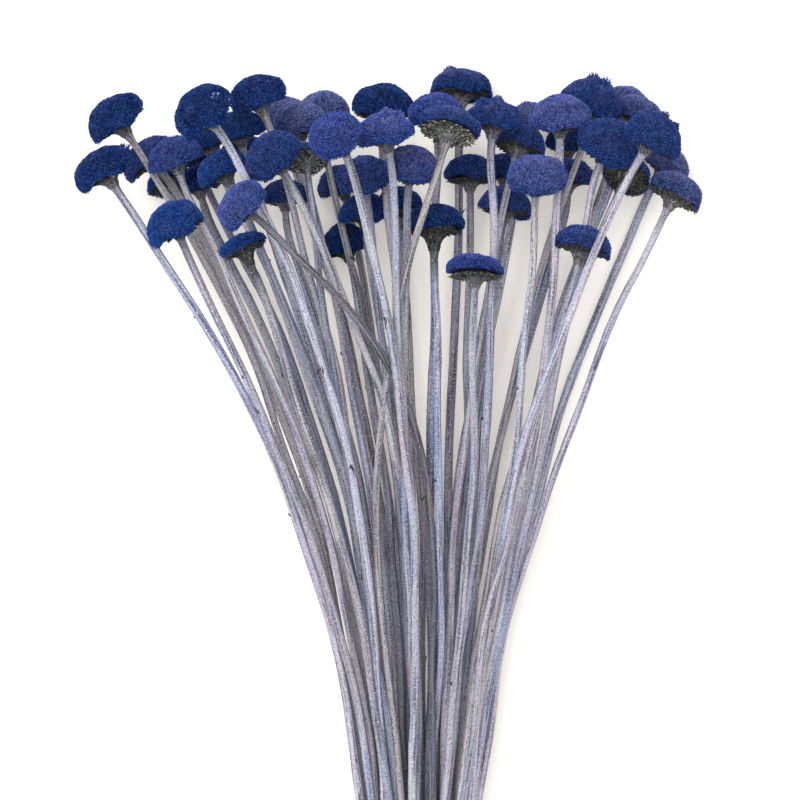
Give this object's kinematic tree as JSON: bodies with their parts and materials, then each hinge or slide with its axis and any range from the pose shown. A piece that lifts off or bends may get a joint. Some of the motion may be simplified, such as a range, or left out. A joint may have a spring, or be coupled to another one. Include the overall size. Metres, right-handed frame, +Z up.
{
  "type": "bunch of button chrysanthemum stems",
  "caption": "Tied bunch of dried button chrysanthemum stems lying down: domed blue button heads on slim grey stalks that fan out from a wound twine tie.",
  "frame": {"origin": "bottom centre of the bounding box of the bunch as it lies", "axes": "+Y along the stems towards the heads, +X to the right seen from above, +Z up from the surface"},
  "size_m": [0.196, 0.3892, 0.1065],
  "materials": {
    "florets": "matt plush of packed dried florets, dyed blue, some violet and some navy",
    "stalks": "dry, dusty lilac grey with fine lengthwise ridges, darker bracts in the cups",
    "twine": "natural two-ply jute twine"
  },
  "bodies": {
    "root": {"florets_01": "florets", "florets_02": "florets", "florets_03": "florets", "florets_04": "florets", "florets_05": "florets", "florets_06": "florets", "florets_07": "florets", "florets_08": "florets", "florets_09": "florets", "florets_10": "florets", "florets_11": "florets", "florets_12": "florets", "florets_13": "florets", "florets_14": "florets", "florets_15": "florets", "florets_16": "florets", "florets_17": "florets", "florets_18": "florets", "florets_19": "florets", "florets_20": "florets", "florets_21": "florets", "florets_22": "florets", "florets_23": "florets", "florets_24": "florets", "florets_25": "florets", "florets_26": "florets", "florets_27": "florets", "florets_28": "florets", "florets_29": "florets", "florets_30": "florets", "florets_31": "florets", "florets_32": "florets", "florets_33": "florets", "florets_34": "florets", "florets_35": "florets", "florets_36": "florets", "florets_37": "florets", "florets_38": "florets", "florets_39": "florets", "florets_40": "florets", "florets_41": "florets", "florets_42": "florets", "florets_43": "florets", "florets_44": "florets", "florets_45": "florets", "florets_46": "florets", "florets_47": "florets", "florets_48": "florets", "florets_49": "florets", "florets_50": "florets", "florets_51": "florets", "florets_52": "florets", "florets_53": "florets", "florets_54": "florets", "florets_55": "florets", "stalks": "stalks", "tie": "twine"}
  },
  "joints": []
}
